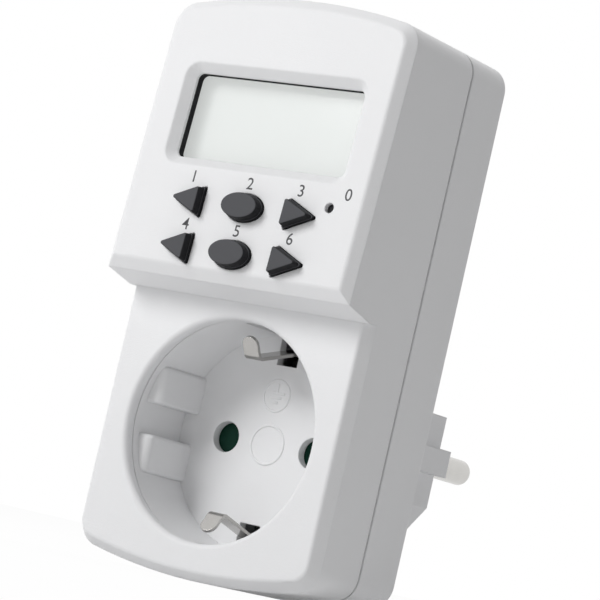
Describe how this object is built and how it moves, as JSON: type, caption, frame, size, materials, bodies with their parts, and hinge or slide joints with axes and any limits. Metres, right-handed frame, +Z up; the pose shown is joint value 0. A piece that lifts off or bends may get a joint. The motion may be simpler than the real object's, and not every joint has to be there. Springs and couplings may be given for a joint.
{
  "type": "plug in timer switch",
  "caption": "Plug-in digital timer switch: two-shell case with tilted display and buttons over an earthed socket well, earthed two-pin plug behind.",
  "frame": {"origin": "centre of the plug's end face, on the plug's axis", "axes": "+Y the way the plug goes into a wall socket, +X right seen from the front, +Z up along the case"},
  "size_m": [0.0524, 0.0769, 0.1026],
  "materials": {
    "white_case": "fine satin texture",
    "white_socket": "satin",
    "button_rubber": "matte",
    "reset_black": "matte",
    "shutter_green": "satin",
    "foam_black": "closed-cell foam",
    "spring_steel": "drawn wire",
    "nickel": "nickel plated",
    "pin_nickel": "nickel plated, turned",
    "brass": "stamped",
    "inner_plastic": "satin",
    "screw_steel": "zinc plated",
    "clear_lens": "polished",
    "lcd_glass": "polished",
    "lcd_reflector": "satin foil",
    "grey_silicone": "matte",
    "green_board": "solder mask",
    "relay_blue": "satin",
    "copper": "lacquered wire",
    "film_yellow": "satin",
    "can_black": "sleeved",
    "varistor_blue": "dipped",
    "chip_black": "moulded",
    "cell_steel": "bright"
  },
  "bodies": {
    "case": {"front_shell": "white_case", "rear_shell": "white_case", "socket_well": "white_socket", "shutter_spring": "spring_steel", "plug_pin_left": "pin_nickel", "plug_pin_right": "pin_nickel", "pin_carrier": "inner_plastic", "neutral_contact": "brass", "live_contact": "brass", "live_out_bar": "brass", "neutral_bar": "brass", "live_pin_bar": "brass", "neutral_pin_bar": "brass", "earth_strap": "nickel", "plug_earth_top": "nickel", "plug_earth_bottom": "nickel", "contact_carrier": "inner_plastic", "board_screws": "screw_steel", "case_screws": "screw_steel", "display_gasket": "foam_black", "display_lens": "clear_lens", "lcd_front_glass": "lcd_glass", "lcd_rear_glass": "lcd_glass", "lcd_reflector": "lcd_reflector", "lcd_holder": "inner_plastic", "zebra_strip": "grey_silicone", "keypad_mat": "grey_silicone", "reset_switch": "chip_black", "control_board": "green_board", "power_board": "green_board", "relay_base": "relay_blue", "relay_cover": "relay_blue", "relay_coil": "copper", "film_capacitor": "film_yellow", "smoothing_capacitor": "can_black", "varistor": "varistor_blue", "bridge_rectifier": "chip_black", "fuse_resistor": "chip_black", "backup_battery": "cell_steel", "battery_tabs": "cell_steel", "timer_chip": "chip_black", "quartz_crystal": "cell_steel", "link_header": "chip_black"},
    "button_left_upper": {"button_left_upper": "button_rubber"},
    "button_centre_upper": {"button_centre_upper": "button_rubber"},
    "button_right_upper": {"button_right_upper": "button_rubber"},
    "button_left_lower": {"button_left_lower": "button_rubber"},
    "button_centre_lower": {"button_centre_lower": "button_rubber"},
    "button_right_lower": {"button_right_lower": "button_rubber"},
    "reset_button": {"reset_button": "reset_black"},
    "shutter": {"shutter": "shutter_green"},
    "earth_clip_top": {"earth_clip_top": "nickel"},
    "earth_clip_bottom": {"earth_clip_bottom": "nickel"}
  },
  "joints": [
    {"name": "press_left_upper", "type": "slide", "parent": "case", "child": "button_left_upper", "axis": [0, 0.9982, -0.0593], "range_m": [0, 0.0007], "stiffness_N_per_m": 1500, "springref_m": -0.0003},
    {"name": "press_centre_upper", "type": "slide", "parent": "case", "child": "button_centre_upper", "axis": [0, 0.9982, -0.0593], "range_m": [0, 0.0007], "stiffness_N_per_m": 1500, "springref_m": -0.0003},
    {"name": "press_right_upper", "type": "slide", "parent": "case", "child": "button_right_upper", "axis": [0, 0.9982, -0.0593], "range_m": [0, 0.0007], "stiffness_N_per_m": 1500, "springref_m": -0.0003},
    {"name": "press_left_lower", "type": "slide", "parent": "case", "child": "button_left_lower", "axis": [0, 0.9982, -0.0593], "range_m": [0, 0.0007], "stiffness_N_per_m": 1500, "springref_m": -0.0003},
    {"name": "press_centre_lower", "type": "slide", "parent": "case", "child": "button_centre_lower", "axis": [0, 0.9982, -0.0593], "range_m": [0, 0.0007], "stiffness_N_per_m": 1500, "springref_m": -0.0003},
    {"name": "press_right_lower", "type": "slide", "parent": "case", "child": "button_right_lower", "axis": [0, 0.9982, -0.0593], "range_m": [0, 0.0007], "stiffness_N_per_m": 1500, "springref_m": -0.0003},
    {"name": "press_reset", "type": "slide", "parent": "case", "child": "reset_button", "axis": [0, 0.9982, -0.0593], "range_m": [0, 0.0005], "stiffness_N_per_m": 1200, "springref_m": -0.0003},
    {"name": "shutter_turn", "type": "hinge", "parent": "case", "child": "shutter", "pos_m": [0, -0.0292, -0.0043], "axis": [0, 1, 0], "range_deg": [0, 36], "stiffness_Nm_per_rad": 0.02, "springref_deg": -11.46},
    {"name": "clip_top_flex", "type": "hinge", "parent": "case", "child": "earth_clip_top", "pos_m": [0, -0.0263, 0.0124], "axis": [-1, 0, 0], "range_deg": [0, 6], "stiffness_Nm_per_rad": 0.6, "springref_deg": -2.86},
    {"name": "clip_bottom_flex", "type": "hinge", "parent": "case", "child": "earth_clip_bottom", "pos_m": [0, -0.0263, -0.021], "axis": [1, 0, 0], "range_deg": [0, 6], "stiffness_Nm_per_rad": 0.6, "springref_deg": -2.86}
  ]
}
